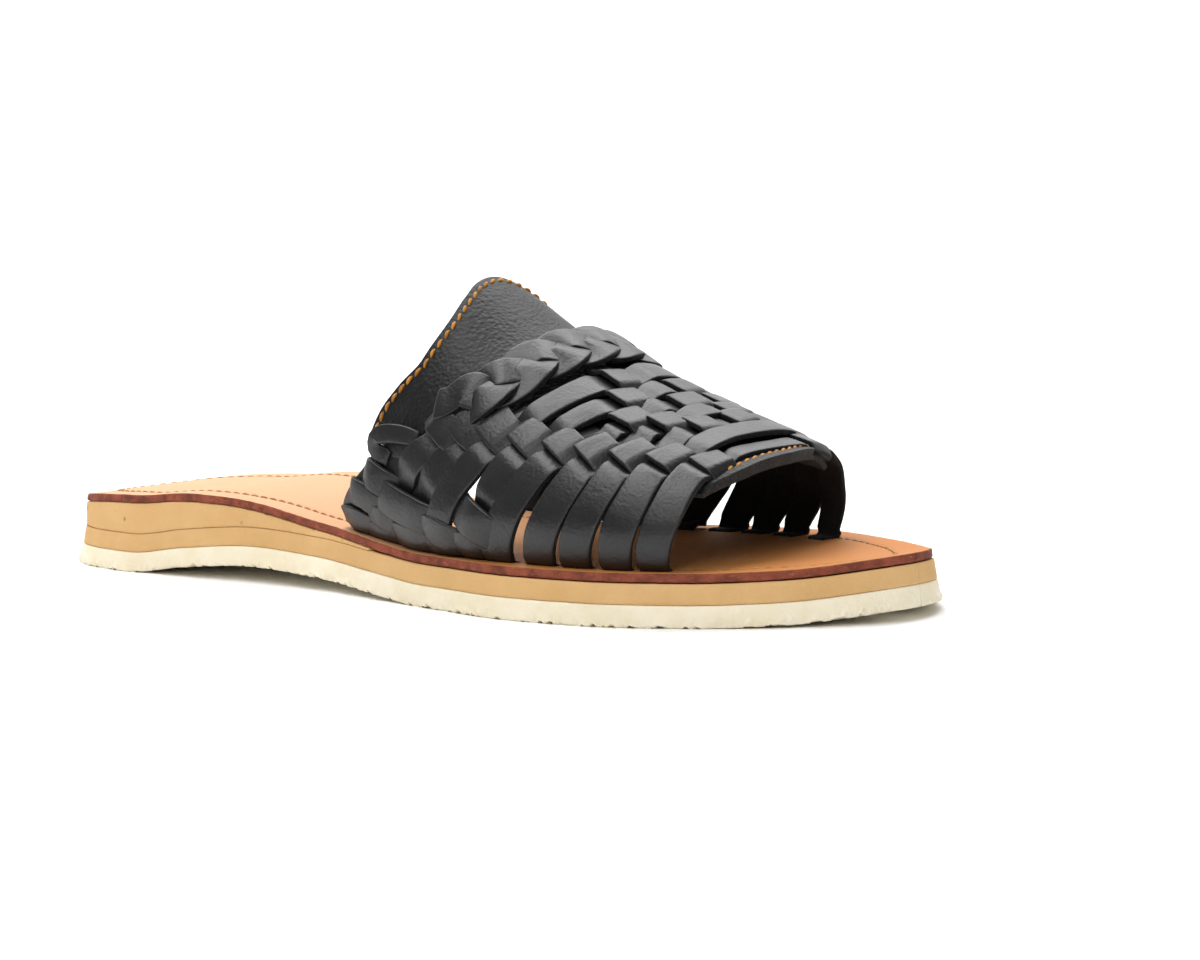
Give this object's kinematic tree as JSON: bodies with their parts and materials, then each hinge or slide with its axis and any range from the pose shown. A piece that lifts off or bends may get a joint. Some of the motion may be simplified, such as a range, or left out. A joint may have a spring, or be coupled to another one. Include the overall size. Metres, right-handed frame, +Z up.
{
  "type": "huarache sandal",
  "caption": "Open toe, open heel leather sandal: straps woven over a vamp panel with a raised tongue, on a layered flat sole with a low heel wedge.",
  "frame": {"origin": "bottom centre of the bounding box, on the ground", "axes": "+X to the toe along the shoe, +Y to the medial side, +Z up"},
  "size_m": [0.2826, 0.1012, 0.0795],
  "materials": {
    "outsole": "matte cream crepe rubber",
    "midsole": "matte tan fine foam",
    "heel_wedge": "matte tan fine foam",
    "insole": "vegetable tanned, smooth, with a rough brown edge",
    "vamp_panel": "black pebbled grain with golden thread",
    "upper": "black satin straps"
  },
  "bodies": {
    "root": {"outsole": "outsole", "midsole": "midsole", "heel_wedge": "heel_wedge", "insole": "insole", "vamp_panel": "vamp_panel", "upper": "upper"}
  },
  "joints": []
}
